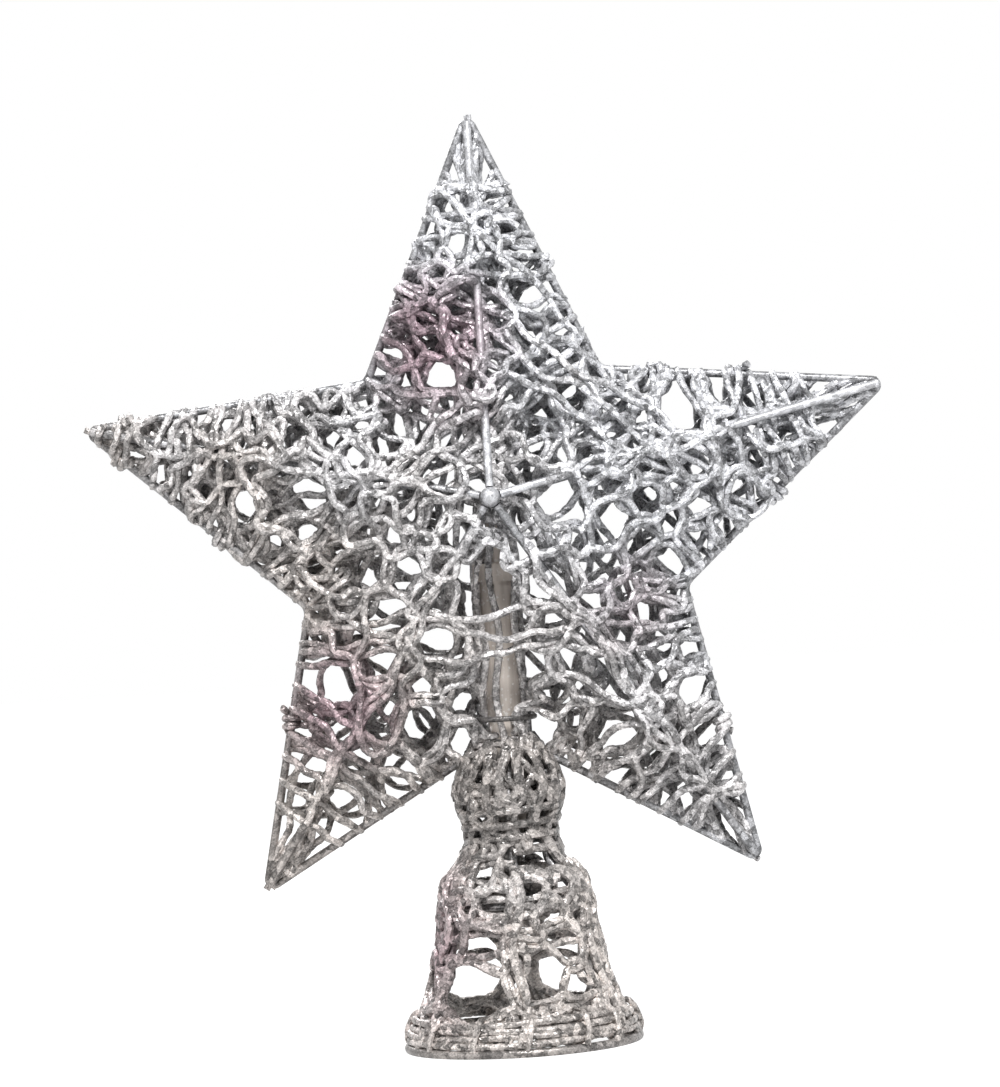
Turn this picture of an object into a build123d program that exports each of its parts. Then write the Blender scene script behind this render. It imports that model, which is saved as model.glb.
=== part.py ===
from build123d import *
import math
import os

os.makedirs("parts", exist_ok=True)

# Star: sizes in millimetres, origin in the middle of the base's foot, front towards -Y
POINT_NAMES = ("top", "right", "lower_right", "lower_left", "left")
STAR_CORNER_RADIUS = 135.5
STAR_VALLEY_RADIUS = 63.5
STAR_VALLEY_RISE = 5.5
APEX_DEPTH = 28.0
APEX_RISE = 12.0
FRAME_WIRE_DIAMETER = 2.6
TIP_INNER_BEND = 0.5
VALLEY_INNER_BEND = 3.7
TAIL_LENGTH = 14.0
HUB_MARGIN = 0.6
SPACER_DIAMETER = 3.0

# Stem
TUBE_OUTER_DIAMETER = 12.0
TUBE_BORE = 10.0
TUBE_BOTTOM_RISE = 2.0
CAP_WALL = 1.1
CAP_TOP_THICKNESS = 1.8
CAP_SKIRT_LENGTH = 4.0
POST_DIAMETER = 4.2
POST_LENGTH = 19.4
TIE_WIRE_DIAMETER = 1.8
TIE_RISE = 9.0

# Base
LEG_COUNT = 6
LEG_WIRE_DIAMETER = 2.6
RING_WIRE_DIAMETER = 3.0
HOOP_WIRE_DIAMETER = 2.2
BASE_RING_RADIUS = 37.0
RING_FLAT_DEPTH = 0.4
LEG_FOOT_HEIGHT = 0.6
LEG_FOOT_STRAIGHT = 4.0
SKIRT_RADIUS = 30.1
SKIRT_RISE = 9.5
WAIST_RADIUS = 24.1
WAIST_RISE = 19.5
SHOULDER_RADIUS = 20.6
SHOULDER_RISE = 18.0
NECK_RADIUS = 12.4
NECK_RISE = 9.0
NECK_LENGTH = 6.0
BULB_RADIUS = 14.6
BULB_RISE = 10.0
BULB_LENGTH = 7.0
CROWN_RISE = 8.0
LEG_TOP_STRAIGHT = 4.0
LEG_BEND_RADIUS = 5.0
HOOP_DROP = 5.0

# Vine
VINE_DIAMETER = 2.4
VINE_GAP = 0.3
LAYER_GAP = 0.8
ARM_LOOPS = 6
ARM_BARE_TIP = 26.0
ARM_BARE_ROOT = 23.0
BAND_LOOPS = 3
BAND_START = 5.0
UPPER_BAND_SHARE = 0.425
BAND_PITCH = 6.5
TAIL_SHARE = 0.5
HEM_TURNS = 3
HEM_CORNERS_PER_TURN = 12
HEM_GAP = 0.5
HEM_BEND_SHARE = 0.9
HEM_DRAW_IN = 2.6
CONE_TURNS = 6
CONE_TOP_DROP = 0.5
BULB_TURNS = 6
BULB_FOOT_RISE = 2.9
BULB_CROWN_MARGIN = 2.0

# Fits
SEAT_GAP = 0.15
MEASURE_STEP = 1.5
NO_TURN = 1e-6

# Worked out
wire_radius = FRAME_WIRE_DIAMETER / 2
vine_radius = VINE_DIAMETER / 2
tube_radius = TUBE_OUTER_DIAMETER / 2
point_count = len(POINT_NAMES)
half_step = math.pi / point_count
skirt_height = LEG_FOOT_STRAIGHT + SKIRT_RISE
waist_height = skirt_height + WAIST_RISE
shoulder_height = waist_height + SHOULDER_RISE
neck_low_height = shoulder_height + NECK_RISE
neck_high_height = neck_low_height + NECK_LENGTH
bulb_low_height = neck_high_height + BULB_RISE
bulb_high_height = bulb_low_height + BULB_LENGTH
crown_height = bulb_high_height + CROWN_RISE
leg_top_height = crown_height + LEG_TOP_STRAIGHT
star_centre = Vector(0, 0, leg_top_height + STAR_VALLEY_RISE + STAR_VALLEY_RADIUS)
tip_bend = TIP_INNER_BEND + wire_radius
valley_bend = VALLEY_INNER_BEND + wire_radius
hub_radius = FRAME_WIRE_DIAMETER + HUB_MARGIN
vine_bend = wire_radius + vine_radius + VINE_GAP


def write(builder, name):
    builder.part.label = name
    export_step(builder.part, f"parts/{name}.step")


def star_point(radius, half_steps):
    """A point of the star's plane, its angle counted clockwise from the top in half steps."""
    angle = half_steps * half_step
    return star_centre + Vector(radius * math.sin(angle), 0, radius * math.cos(angle))


tips = [star_point(STAR_CORNER_RADIUS, 2 * k) for k in range(point_count)]
valleys = [star_point(STAR_VALLEY_RADIUS, 2 * k + 1) for k in range(point_count)]
outline = [corner for pair in zip(tips, valleys) for corner in pair]
edges = [(outline[k - 1], outline[k]) for k in range(len(outline))]
bottom_valley = valleys[point_count // 2]
lower_right_tip = tips[point_count // 2]

# The ridges end in front of and behind the bend of each point
tip_half_angle = math.radians((valleys[0] - tips[0]).get_angle(Vector(0, 0, -1)))
bend_inset = tip_bend * (1 / math.sin(tip_half_angle) - 1)
ridge_tip_radius = STAR_CORNER_RADIUS - bend_inset
ridge_tip_depth = FRAME_WIRE_DIAMETER + SEAT_GAP
ridge_tips = [star_point(ridge_tip_radius, 2 * k) for k in range(point_count)]
apex_plan = star_centre + Vector(0, 0, APEX_RISE)


def round_wire(path_points, radii, diameter):
    """A wire of straight runs and tangent arcs, whose volume is compared with section times length."""
    with BuildPart() as wire:
        with BuildLine() as path:
            FilletPolyline(*path_points, radius=radii)
        with BuildSketch(Plane(path.line @ 0, z_dir=path.line % 0)):
            Circle(diameter / 2)
        sweep()
    centre_line = path.wire()
    expected = math.pi * diameter**2 / 4 * centre_line.length
    print("volume share of section times length", round(wire.part.volume / expected, 4))
    return wire, centre_line


def rod(start, end, diameter):
    with BuildPart() as bar:
        with BuildSketch(Plane(start, z_dir=end - start)):
            Circle(diameter / 2)
        extrude(amount=(end - start).length)
    return bar


def hoop(radius, height, diameter):
    with BuildPart() as ring:
        with BuildSketch(Plane.XZ):
            with Locations((radius, height)):
                Circle(diameter / 2)
        revolve(axis=Axis.Z)
    return ring


# Star outline: one wire, from one tail round the five points to the other tail
tail_x = tube_radius + wire_radius + SEAT_GAP
edge_slope = (lower_right_tip.Z - bottom_valley.Z) / lower_right_tip.X
tail_corner_height = bottom_valley.Z + edge_slope * tail_x
tail_top_height = tail_corner_height + TAIL_LENGTH
right_half = [Vector(tail_x, 0, tail_top_height), Vector(tail_x, 0, tail_corner_height)]
left_half = [Vector(-tail_x, 0, tail_corner_height), Vector(-tail_x, 0, tail_top_height)]
last_right = point_count // 2
round_star = []
for k in range(last_right, last_right - point_count, -1):
    round_star += [tips[k], valleys[k - 1]]
round_star.pop()
corner_bends = [valley_bend] + [tip_bend, valley_bend] * point_count
star_outline, _ = round_wire(right_half + round_star + left_half, corner_bends, FRAME_WIRE_DIAMETER)
write(star_outline, "star_outline")

# Ridges, hubs and the spacer between the hubs
for side_name, side in (("front", -1), ("rear", 1)):
    apex = apex_plan + Vector(0, side * APEX_DEPTH, 0)
    for k, point_name in enumerate(POINT_NAMES):
        ridge_tip = ridge_tips[k] + Vector(0, side * ridge_tip_depth, 0)
        inward = (ridge_tip - apex).normalized()
        ridge = rod(ridge_tip, apex + inward * (hub_radius + SEAT_GAP), FRAME_WIRE_DIAMETER)
        write(ridge, f"{side_name}_ridge_{point_name}")
    with BuildPart() as hub:
        with Locations(apex):
            Sphere(hub_radius)
    write(hub, f"{side_name}_hub")

spacer_reach = APEX_DEPTH - hub_radius - SEAT_GAP
hub_spacer = rod(
    apex_plan - Vector(0, spacer_reach, 0), apex_plan + Vector(0, spacer_reach, 0), SPACER_DIAMETER
)
write(hub_spacer, "hub_spacer")

# Stem: post under the spacer, cap, tube and tie
post_top = apex_plan - Vector(0, 0, SPACER_DIAMETER / 2 + SEAT_GAP)
cap_top_height = post_top.Z - POST_LENGTH
stem_post = rod(Vector(0, 0, cap_top_height), post_top, POST_DIAMETER)
write(stem_post, "stem_post")

cap_bore_radius = tube_radius + SEAT_GAP
cap_inside_height = cap_top_height - CAP_TOP_THICKNESS
with BuildPart() as stem_cap:
    with BuildSketch(Plane.XY.offset(cap_top_height)):
        Circle(cap_bore_radius + CAP_WALL)
    extrude(amount=-CAP_TOP_THICKNESS - CAP_SKIRT_LENGTH)
    with BuildSketch(Plane.XY.offset(cap_inside_height)):
        Circle(cap_bore_radius)
    extrude(amount=-CAP_SKIRT_LENGTH, mode=Mode.SUBTRACT)
write(stem_cap, "stem_cap")

tube_bottom_height = neck_high_height + TUBE_BOTTOM_RISE
with BuildPart() as stem_tube:
    with BuildSketch(Plane.XY.offset(tube_bottom_height)):
        Circle(tube_radius)
        Circle(TUBE_BORE / 2, mode=Mode.SUBTRACT)
    extrude(amount=cap_inside_height - SEAT_GAP - tube_bottom_height)
write(stem_tube, "stem_tube")

tie_radius = tail_x + wire_radius + SEAT_GAP + TIE_WIRE_DIAMETER / 2
stem_tie = hoop(tie_radius, tail_corner_height + TIE_RISE, TIE_WIRE_DIAMETER)
write(stem_tie, "stem_tie")

# Base ring, cut flat where it stands
leg_radius = LEG_WIRE_DIAMETER / 2
ring_height = RING_WIRE_DIAMETER / 2 - RING_FLAT_DEPTH
with BuildPart() as base_ring:
    with BuildSketch(Plane.XZ):
        with Locations((BASE_RING_RADIUS, ring_height)):
            Circle(RING_WIRE_DIAMETER / 2)
    revolve(axis=Axis.Z)
    split(bisect_by=Plane.XY, keep=Keep.TOP)
write(base_ring, "base_ring")

# Legs: foot inside the ring, bell, neck, bulb, then up the side of the tube
foot_radius = BASE_RING_RADIUS - RING_WIRE_DIAMETER / 2 - leg_radius - SEAT_GAP
leg_top_radius = tube_radius + leg_radius + SEAT_GAP
leg_profile = [
    (foot_radius, LEG_FOOT_HEIGHT),
    (foot_radius, LEG_FOOT_STRAIGHT),
    (SKIRT_RADIUS, skirt_height),
    (WAIST_RADIUS, waist_height),
    (SHOULDER_RADIUS, shoulder_height),
    (NECK_RADIUS, neck_low_height),
    (NECK_RADIUS, neck_high_height),
    (BULB_RADIUS, bulb_low_height),
    (BULB_RADIUS, bulb_high_height),
    (leg_top_radius, crown_height),
    (leg_top_radius, leg_top_height),
]


def leg_angle(k):
    return -math.pi / 2 + k * 2 * math.pi / LEG_COUNT


def around(radius, angle, height):
    return Vector(radius * math.cos(angle), radius * math.sin(angle), height)


def leg_place(height):
    """The legs' radius at a height, and the cosine of their lean there."""
    for (low_radius, low), (high_radius, high) in zip(leg_profile, leg_profile[1:]):
        if height <= high:
            share = (height - low) / (high - low)
            run = math.hypot(high - low, high_radius - low_radius)
            return low_radius + share * (high_radius - low_radius), (high - low) / run
    return leg_top_radius, 1


for k in range(LEG_COUNT):
    leg_points = [around(radius, leg_angle(k), height) for radius, height in leg_profile]
    base_leg, _ = round_wire(leg_points, LEG_BEND_RADIUS, LEG_WIRE_DIAMETER)
    write(base_leg, f"base_leg_{k + 1}")

# Forming hoops, just inside the legs
hoop_radius = HOOP_WIRE_DIAMETER / 2
for name, height in (("shoulder_ring", shoulder_height - HOOP_DROP), ("neck_ring", neck_high_height)):
    beside, lean = leg_place(height)
    inset = (leg_radius + hoop_radius + SEAT_GAP) / lean
    write(hoop(beside - inset, height, HOOP_WIRE_DIAMETER), name)


def least_gap(centre_line):
    """The least clear distance between two stretches of one vine, from points along it."""
    places = []
    along = 0
    for edge in centre_line.order_edges():
        steps = max(1, math.ceil(edge.length / MEASURE_STEP))
        for step in range(steps):
            places.append((along + edge.length * step / steps, edge @ (step / steps)))
        along += edge.length
    apart = 2 * math.pi * vine_bend
    near = []
    for i, (here, a) in enumerate(places):
        for there, b in places[i + 1 :]:
            if there - here > apart:
                near.append((a.X - b.X) ** 2 + (a.Y - b.Y) ** 2 + (a.Z - b.Z) ** 2)
    return math.sqrt(min(near)) - VINE_DIAMETER


def wind(name, path_points, radii):
    winding, centre_line = round_wire(path_points, radii, VINE_DIAMETER)
    print(name, "least gap to itself", round(least_gap(centre_line), 2))
    write(winding, name)


def cross(a, b):
    """The turn from one direction of the star's plane to another."""
    return a.X * b.Z - a.Z * b.X


def meeting(start, run, first, second):
    """Shares along a run and along the line between two points at which they cross."""
    side = second - first
    turn = cross(run, side)
    if abs(turn) < NO_TURN:
        return None
    return cross(first - start, side) / turn, cross(first - start, run) / turn


def edge_hit(start, direction):
    """The nearest place where a line of the star's plane meets the outline, and the sine it meets at."""
    best = None
    for first, second in edges:
        hit = meeting(start, direction, first, second)
        if hit and hit[0] > 0 and 0 <= hit[1] <= 1:
            if best is None or hit[0] < best[0]:
                best = (hit[0], abs(cross(direction, (second - first).normalized())))
    return start + direction * best[0], best[1]


def ridge_hits(start, end):
    """Where a run from edge to edge passes over the ridges: shares along the run, and depths."""
    hits = []
    for ridge_tip in ridge_tips:
        hit = meeting(start, end - start, apex_plan, ridge_tip)
        if hit and 0 < hit[0] < 1 and 0 <= hit[1] <= 1:
            hits.append((hit[0], APEX_DEPTH + hit[1] * (ridge_tip_depth - APEX_DEPTH)))
    return sorted(hits)


def taut(hits):
    """The ridges that a tight vine touches, out of those that it passes over."""
    hull = [(0, 0)]
    for hit in hits + [(1, 0)]:
        while len(hull) > 1:
            (x0, y0), (x1, y1) = hull[-2:]
            if (x1 - x0) * (hit[1] - y0) >= (y1 - y0) * (hit[0] - x0):
                hull.pop()
            else:
                break
        hull.append(hit)
    return hull[1:-1]


def over_ridges(start, end, side, bend):
    """Corner points of a run from edge to edge, each as far over its ridge as the vine's bend needs."""
    length = (end - start).length
    touched = [(0, 0), *taut(ridge_hits(start, end)), (1, 0)]
    corners = []
    for (x0, y0), (x1, y1), (x2, y2) in zip(touched, touched[1:], touched[2:]):
        climb = math.atan2(y1 - y0, (x1 - x0) * length)
        fall = math.atan2(y1 - y2, (x2 - x1) * length)
        standoff = bend / math.cos((climb + fall) / 2)
        corners.append(start + (end - start) * x1 + Vector(0, side * (y1 + standoff), 0))
    return corners


def edge_corner(place, sine, outward, run, depth, bend):
    """The corner at which a vine turns round the outline, as far out as its bend needs."""
    rise = math.atan2(depth, run)
    reach = math.hypot(sine, math.sin(rise) * math.sqrt(1 - sine**2))
    return place + outward * (bend * reach / (math.sin(rise) * sine))


def star_winding(lines, bend):
    """Corners of one vine: across the front on each line, and behind to the start of the next line."""
    ends = []
    for middle, direction in lines:
        start, start_sine = edge_hit(middle, -direction)
        end, end_sine = edge_hit(middle, direction)
        length = (end - start).length
        touched = taut(ridge_hits(start, end))
        first_share, first_depth = touched[0]
        last_share, last_depth = touched[-1]
        start_corner = edge_corner(start, start_sine, -direction, first_share * length, first_depth, bend)
        end_corner = edge_corner(end, end_sine, direction, (1 - last_share) * length, last_depth, bend)
        ends.append((start, end, start_corner, end_corner))
    corners = []
    for k, (start, end, start_corner, end_corner) in enumerate(ends):
        corners += [start_corner, *over_ridges(start, end, -1, bend), end_corner]
        if k + 1 < len(ends):
            corners += over_ridges(end, ends[k + 1][0], 1, bend)
    behind_first = over_ridges(ends[0][1], ends[0][0], 1, bend)[-1]
    behind_last = over_ridges(ends[-1][1], ends[-1][0], 1, bend)[0]
    first_tail = corners[0] + (behind_first - corners[0]) * TAIL_SHARE
    last_tail = corners[-1] + (behind_last - corners[-1]) * TAIL_SHARE
    return [first_tail, *corners, last_tail]


# Arm windings: turns from near the tip to near the root of each point
arm_start = STAR_CORNER_RADIUS - ARM_BARE_TIP
arm_end = STAR_VALLEY_RADIUS * math.cos(half_step) + ARM_BARE_ROOT
for k, point_name in enumerate(POINT_NAMES):
    across = (valleys[k] - valleys[k - 1]).normalized()
    arm_lines = []
    for loop in range(ARM_LOOPS):
        radius = arm_start + (arm_end - arm_start) * loop / (ARM_LOOPS - 1)
        arm_lines.append((star_point(radius, 2 * k), across))
    wind(f"arm_winding_{point_name}", star_winding(arm_lines, vine_bend), vine_bend)

# Body windings: bands of turns between valleys, the last one laid over the arm windings
top_right, right, _, left, top_left = valleys
upper_bend = vine_bend + VINE_DIAMETER + LAYER_GAP
upper_band_start = STAR_VALLEY_RADIUS * UPPER_BAND_SHARE
bands = (
    ("body_winding_level", right, left, BAND_START, vine_bend),
    ("body_winding_rising", left, top_right, BAND_START, vine_bend),
    ("body_winding_falling", top_left, right, upper_band_start, upper_bend),
)
for name, from_valley, to_valley, first_shift, bend in bands:
    direction = (to_valley - from_valley).normalized()
    outward = Vector(-direction.Z, 0, direction.X)
    middle = (from_valley + to_valley) * (1 / 2)
    band_lines = []
    for loop in range(BAND_LOOPS):
        shift = first_shift + BAND_PITCH * loop
        band_lines.append((middle + outward * shift, direction))
    wind(name, star_winding(band_lines, bend), bend)

# Hem winding: round turns that lie on the foot ring and draw in with the bell
hem_pitch = VINE_DIAMETER + HEM_GAP
hem_start = ring_height + RING_WIRE_DIAMETER / 2 + vine_radius + VINE_GAP
hem_step = 2 * math.pi / HEM_CORNERS_PER_TURN
hem_corner_radius = BASE_RING_RADIUS / math.cos(hem_step / 2)
hem_points = []
hem_corners = HEM_TURNS * HEM_CORNERS_PER_TURN
for corner in range(hem_corners + 1):
    height = hem_start + hem_pitch * corner / HEM_CORNERS_PER_TURN
    radius = hem_corner_radius - HEM_DRAW_IN * corner / hem_corners
    hem_points.append(around(radius, corner * hem_step, height))
wind("hem_winding", hem_points, (BASE_RING_RADIUS - HEM_DRAW_IN) * HEM_BEND_SHARE)


def leg_winding(heights):
    """Corners of a vine that goes round the legs, one height for each leg that it passes."""
    leg_bend = leg_radius + vine_radius + VINE_GAP
    corners = []
    for k, height in enumerate(heights):
        radius, lean = leg_place(height)
        reach = leg_bend / (lean * math.cos(math.pi / LEG_COUNT))
        corners.append(around(radius + reach, leg_angle(k), height))
    return corners, leg_bend


def even_heights(low, high, turns):
    count = turns * LEG_COUNT
    return [low + (high - low) * k / count for k in range(count + 1)]


# Cone winding: one steep turn over the open bell, then close turns up to the shoulder
hem_top = hem_start + hem_pitch * HEM_TURNS + VINE_DIAMETER
cone_heights = even_heights(hem_top, waist_height, 1)
cone_heights += even_heights(waist_height, neck_low_height - CONE_TOP_DROP, CONE_TURNS - 1)[1:]
wind("cone_winding", *leg_winding(cone_heights))

# Bulb winding: close turns round the bulb, from the neck to below the star
bulb_foot = neck_low_height + BULB_FOOT_RISE
bulb_heights = even_heights(bulb_foot, crown_height - BULB_CROWN_MARGIN, BULB_TURNS)
wind("bulb_winding", *leg_winding(bulb_heights))
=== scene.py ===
import math
import random

import bpy
from mathutils import Euler, Matrix, Vector
from mathutils.geometry import delaunay_2d_cdt


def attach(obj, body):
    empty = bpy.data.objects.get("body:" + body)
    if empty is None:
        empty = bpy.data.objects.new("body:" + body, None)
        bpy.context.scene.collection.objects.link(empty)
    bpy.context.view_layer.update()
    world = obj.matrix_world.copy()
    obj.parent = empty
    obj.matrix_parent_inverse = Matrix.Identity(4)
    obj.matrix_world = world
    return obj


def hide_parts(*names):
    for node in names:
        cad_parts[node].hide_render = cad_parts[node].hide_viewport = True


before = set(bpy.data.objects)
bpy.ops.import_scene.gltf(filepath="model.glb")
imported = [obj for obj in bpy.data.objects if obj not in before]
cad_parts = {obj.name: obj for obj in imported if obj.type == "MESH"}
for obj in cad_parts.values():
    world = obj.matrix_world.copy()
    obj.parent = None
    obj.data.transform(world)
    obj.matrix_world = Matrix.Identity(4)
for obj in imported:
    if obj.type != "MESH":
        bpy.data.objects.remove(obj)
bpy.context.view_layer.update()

scene = bpy.context.scene

# Star: sizes in millimetres, as in the part's source; meshes are written in metres
MM = 0.001
ARM_NAMES = ("top", "right", "lower_right", "lower_left", "left")
ARM_COUNT = len(ARM_NAMES)
STAR_HEIGHT = 164.0
CORNER_RADIUS = 135.5
VALLEY_RADIUS = 63.5
APEX_DEPTH = 28.0
APEX_RISE = 12.0
RIDGE_TIP_DEPTH = 2.75
FRONT = -1
REAR = 1

# Vine: its thickness, the steps of its path and its faceted, uneven skin
VINE_THICKNESS = 2.35
BASE_VINE_THICKNESS = 2.7
WIRE_CLEARANCE = 2.5
PATH_STEP = 1.6
LEAST_STEPS = 6
LEAST_CURVE_STEPS = 2
EASING_ROUNDS = 2
VINE_FACET = 1.1
VINE_SIDES = 8
VINE_UNEVENNESS = 0.55
VINE_GRAIN = 0.16
SWELL_SCALE = 160.0
SWELL_DETAIL = 1.0

# Even turns, as the solids have them; a band has its name, two valleys and first shift
EVEN_TURNS = 6
EVEN_SHARES = (0.309, 0.727)
EVEN_REACH = 0.7
EVEN_LIFT = (0.0, 0.5)
EVEN_INNER_SHARE = 0.0
EVEN_SPAN = APEX_DEPTH
LEFT_TIP_TURNS = 3
LEFT_TIP_SHARES = (0.07, 0.19)
BAND_TURNS = 3
BAND_PITCH = 6.5
BANDS = (("level", 1, 3, 5.0), ("rising", 3, 0, 5.0), ("falling", 4, 1, 27.0))

# Loose vine: values for the arms are in the order of their names
ARM_WOVEN_LENGTHS = (4300.0, 3900.0, 2800.0, 2200.0, 5200.0)
BODY_WOVEN_LENGTH = 4300.0
WOVEN_REACH = 0.2
WOVEN_LIFT = (0.0, 1.8)
ARM_INNER_LIMIT = 40.0
BODY_OUTER_LIMIT = 84.0
TIPS_BARE = (18.0, 20.0, 18.0, 14.0, 4.0)
INNER_SHARE = 0.6
BODY_INNER_SHARE = 0.3
LOOSE_SPAN = 3.5
EDGE_BEND = 4.0
SINK_EASING = 3
REAR_STRETCH = 0.00143  # per millimetre of depth, so that open eyes of both faces line up
STEM_WINDOW = (7.0, -56.0, -12.0)  # half width, low, high
TRAIL_STEPS = (6, 40)
CURL_BURDEN = 0.9
CHANCE_BURDEN = 0.8
NODE_JITTER = 2.4

# Strands drawn straight across the weave, out of the tips and along the front ridges
ARM_STRAYS = (7, 5, 6, 4, 8)
ARM_STRAY_REACH = (58.0, 108.0)
ARM_STRAY_SPREAD = 0.2
BODY_STRAYS = 1
BODY_STRAY_REACH = (5.0, 50.0)
TIP_STRANDS = 8
TIP_STRAND_LENGTHS = (22.0, 46.0)
TIP_STRAND_SPREAD = 0.2
RIDGE_STRANDS = (1, 2, 3, 2, 2)
RIDGE_STRAND_STARTS = (0.1, 0.25)
RIDGE_STRAND_ENDS = (0.6, 0.85)

# Sways of a strand: full size, the least share of it, and pitches
SLOW_SWAY = (2.4, 0.5, (30, 60))
QUICK_SWAY = (1.0, 0.4, (11, 19))
WEAVE = (0.6, 0.4, (12, 24))
STEM_SWAY = (1.6, 0.5, (25, 50))
LEG_SWAY = (2.6, 0.5, (20, 45))
SWAY_FREE = 12.0

# Open eyes of the weave
THROUGH_EYE_RADII = (2.9, 4.4)
THROUGH_EYE_TRIES = 900
EYE_RADII = (1.8, 3.2)
EYE_TRIES = 12000
EYE_SCALES = (0.72, 0.85, 1.0, 1.15, 0.72)
EYE_GAP = 3.0
EYE_PUSH = 0.45
LARGE_EYE = 3.9
LARGE_EYE_PUSH = 0.85
RIM_SEEDS = 12
RIM_OFF = 2.5
RIM_SIZE = 1.0
RIM_CLEAR = 0.5
NET_TOLERANCE = 0.01

# Large open eyes of the weave: across, up from the star's centre, radius
LARGE_EYES = (
    (21.6, 8.5, 6.8), (-18.3, -31.9, 6.4), (-52.6, -81.7, 6.6), (16.5, 76.0, 4.8),
    (-5.0, 94.4, 4.2), (27.4, 45.0, 4.0), (60.5, -54.0, 5.8), (37.3, -66.0, 6.4),
    (-79.3, 15.6, 5.0), (-54.0, -42.4, 5.8), (62.0, 36.0, 6.0), (-57.0, 16.0, 4.5),
    (-26.0, -57.5, 5.8), (17.0, -15.3, 5.0), (-13.0, 52.0, 4.2), (38.0, 2.0, 4.5),
)

# Stretches of the front ridges that show bare: from, to, reach beside them
BARE_RIDGES = (
    ((0.0, 12.0), (0.0, 32.0), 7.0),
    ((0.0, 12.0), (11.0, 16.0), 7.0),
    ((0.0, 12.0), (7.0, 2.0), 6.0),
    ((0.0, 62.0), (0.0, 76.0), 5.0),
    ((84.0, 31.0), (122.0, 40.0), 5.0),
)

# Strands up the stem: span of heights, radius at heights, degrees round from the front
STEM_SPAN = (93.0, 174.0)
STEM_STRAND_RADIUS = 7.0
STEM_PROFILE = ((93.0, 7.0), (158.0, 7.0), (174.0, 4.6))
STEM_STRANDS = (-85, -52, -8, 60, 88, 150, 205)

# Base: radius of the legs at heights above the foot
LEG_COUNT = 6
LEG_PROFILE = (
    (0.0, 34.05), (4.0, 34.05), (13.5, 30.1), (33.0, 24.1),
    (51.0, 20.6), (60.0, 12.4), (66.0, 12.4), (76.0, 14.6),
    (83.0, 14.6), (91.0, 7.45), (95.0, 7.45),
)

# Base: radius at which the loose vine lies, fuller than the legs at the foot, shoulder and crown
WOVEN_PROFILE = (
    (0.0, 37.4), (8.0, 35.2), (14.0, 32.0), (22.5, 29.4),
    (35.0, 26.6), (46.0, 25.2), (54.0, 23.2), (60.0, 17.0),
    (66.0, 14.2), (71.0, 14.2), (77.0, 16.6), (83.0, 17.4),
    (89.0, 15.6), (95.0, 11.8), (101.0, 8.6),
)

# Base, unrolled at one girth: its height, seam and net
GIRTH = 24.0
BASE_PERIOD = math.tau * GIRTH
BASE_SEAM = 14.0
BASE_TOP = 98.0
BASE_FOOT = 1.6
BASE_RIM_STEP = 6.0
BASE_STEPS = 80
BASE_TRAIL_STEPS = (40, 41)
BASE_NET_STEP = 4.5
EVEN_PULL = 0.55
WOVEN_PULL = 0.25

# Base: open eyes that the front shows, as the way round at the girth, height, radius
FRONT_BASE_EYES = (
    (-14.5, 21.0, 7.0), (-11.5, 34.2, 4.6), (8.0, 25.5, 6.2), (16.0, 33.0, 3.8),
    (16.5, 18.5, 4.2), (-8.0, 46.5, 3.6), (4.5, 50.5, 4.0),
)

# Base: large eyes at the rear, and zones of smaller ones as from height, to height, radii
BASE_OPEN_AFTER = (2, 3)
BASE_EYE_HEIGHT = 22.5
BASE_EYE_SHIFT = 2.0
BASE_EYE_RADII = (7.8, 9.2)
BASE_EYE_TRIES = 900
BASE_EYE_ZONES = (
    (3.6, 13.0, (1.6, 2.6)),
    (16.0, 38.0, (3.8, 5.4)),
    (40.0, 57.0, (2.4, 4.2)),
    (60.0, 93.0, (2.2, 3.7)),
)

# Vine of the bell and the bulb: turns as low, high, count; woven as seed, low, high, length, lift
CONE_TURNS = ((15.2, 33.0, 1), (33.0, 59.5, 5))
CONE_WOVEN = (
    (31, 2.0, 62.0, 1000.0, -0.8),
    (32, 2.0, 62.0, 1000.0, 0.2),
    (33, 32.0, 62.0, 400.0, -0.3),
    (35, 1.0, 17.0, 800.0, -1.2),
)
BULB_TURNS = ((62.9, 89.0, 6),)
BULB_WOVEN = (
    (36, 58.0, 99.0, 650.0, -0.6),
    (37, 58.0, 99.0, 650.0, 0.4),
    (38, 58.0, 99.0, 750.0, 0.0),
    (39, 82.0, 99.0, 200.0, 0.2),
)

# Strands up the legs, and arches over the dome
LEG_STRANDS = 3
LEG_STRAND_PROUD = (-1.0, 0.6)
LEG_STRAND_FEET = (2.5, 5.0)
LEG_STRAND_TOPS = (50.0, 72.0)
ARCHES = 11
ARCH_SPANS = (1.5, 3.0)
ARCH_FEET = (76.0, 87.0)
ARCH_TOPS = (91.0, 100.0)
ARCH_PROUD = (-0.8, 0.5)
ARCH_STEPS = 30

# Hem: turns on the foot ring, and ties round them
HEM_RADIUS = 37.0
HEM_FOOT = 2.3
HEM_PITCH = 2.1
HEM_TURNS = 4
HEM_STEPS = 120
HEM_TAPER = 0.3
HEM_RIPPLE = 0.35
HEM_RIPPLES_ROUND = 2.3
HEM_RIPPLES_UP = 3.4
TIE_DEGREES = (-51, -24, 3, 33, 53, 96, 134, 171, 228, 262)
TIE_THICKNESS = 2.0
TIE_RADIUS = 35.2
TIE_HEIGHT = 6.8
TIE_REACH = 5.2
TIE_DEPTH = 2.4
TIE_LEAN = 1.6
TIE_TWIST = 0.03
TIE_STEPS = 18

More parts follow.
